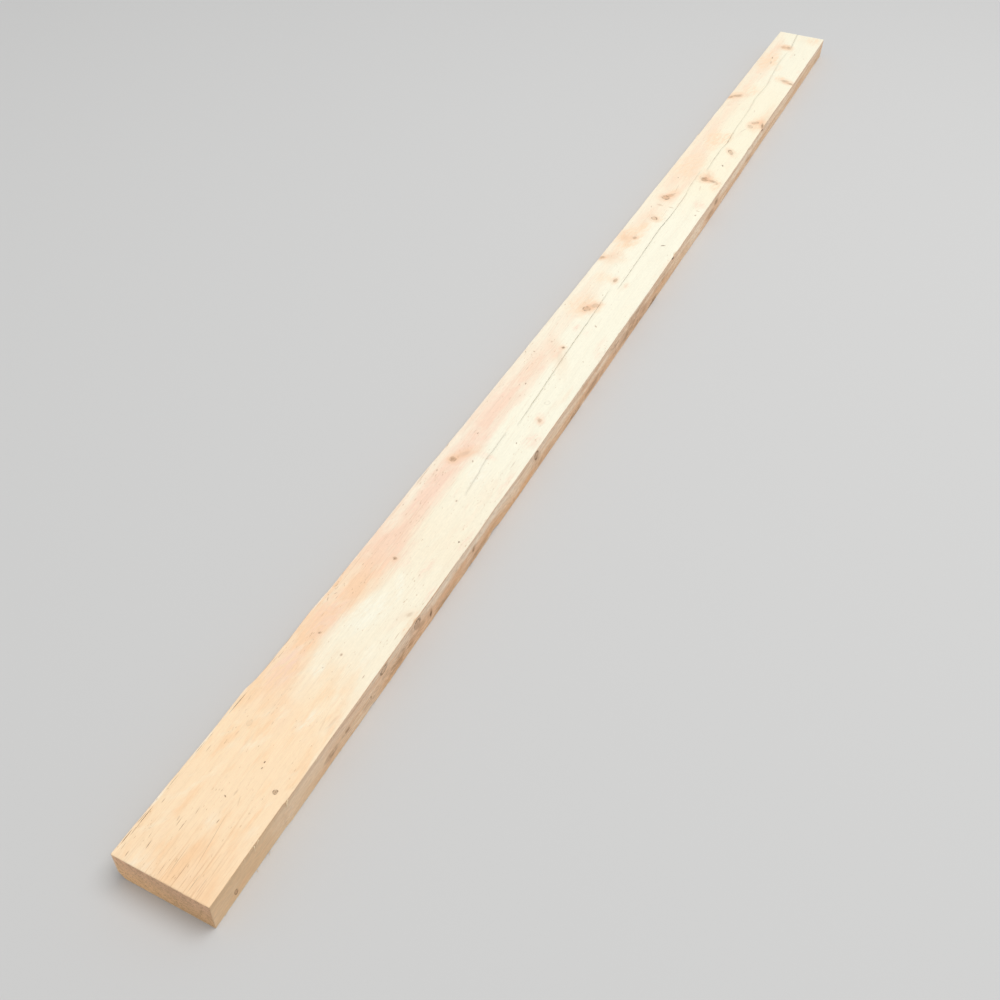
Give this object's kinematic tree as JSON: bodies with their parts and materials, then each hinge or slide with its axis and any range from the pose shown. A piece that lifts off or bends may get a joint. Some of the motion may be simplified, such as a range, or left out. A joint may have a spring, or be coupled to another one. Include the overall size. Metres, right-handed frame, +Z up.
{
  "type": "timber plank",
  "caption": "Long sawn softwood plank lying on its wide face, with a slight bend, eased edges, drying checks, chipped edges and a little wane at one end.",
  "frame": {"origin": "middle of the underside, at the bottom centre of the plank's box", "axes": "+X along the grain towards the end without wane, +Y across the width towards the stepped side, +Z up through the thickness"},
  "size_m": [4.5028, 0.21, 0.075],
  "materials": {
    "sawn_softwood": "raw sawn, dry, matt"
  },
  "bodies": {
    "root": {"plank": "sawn_softwood"}
  },
  "joints": []
}
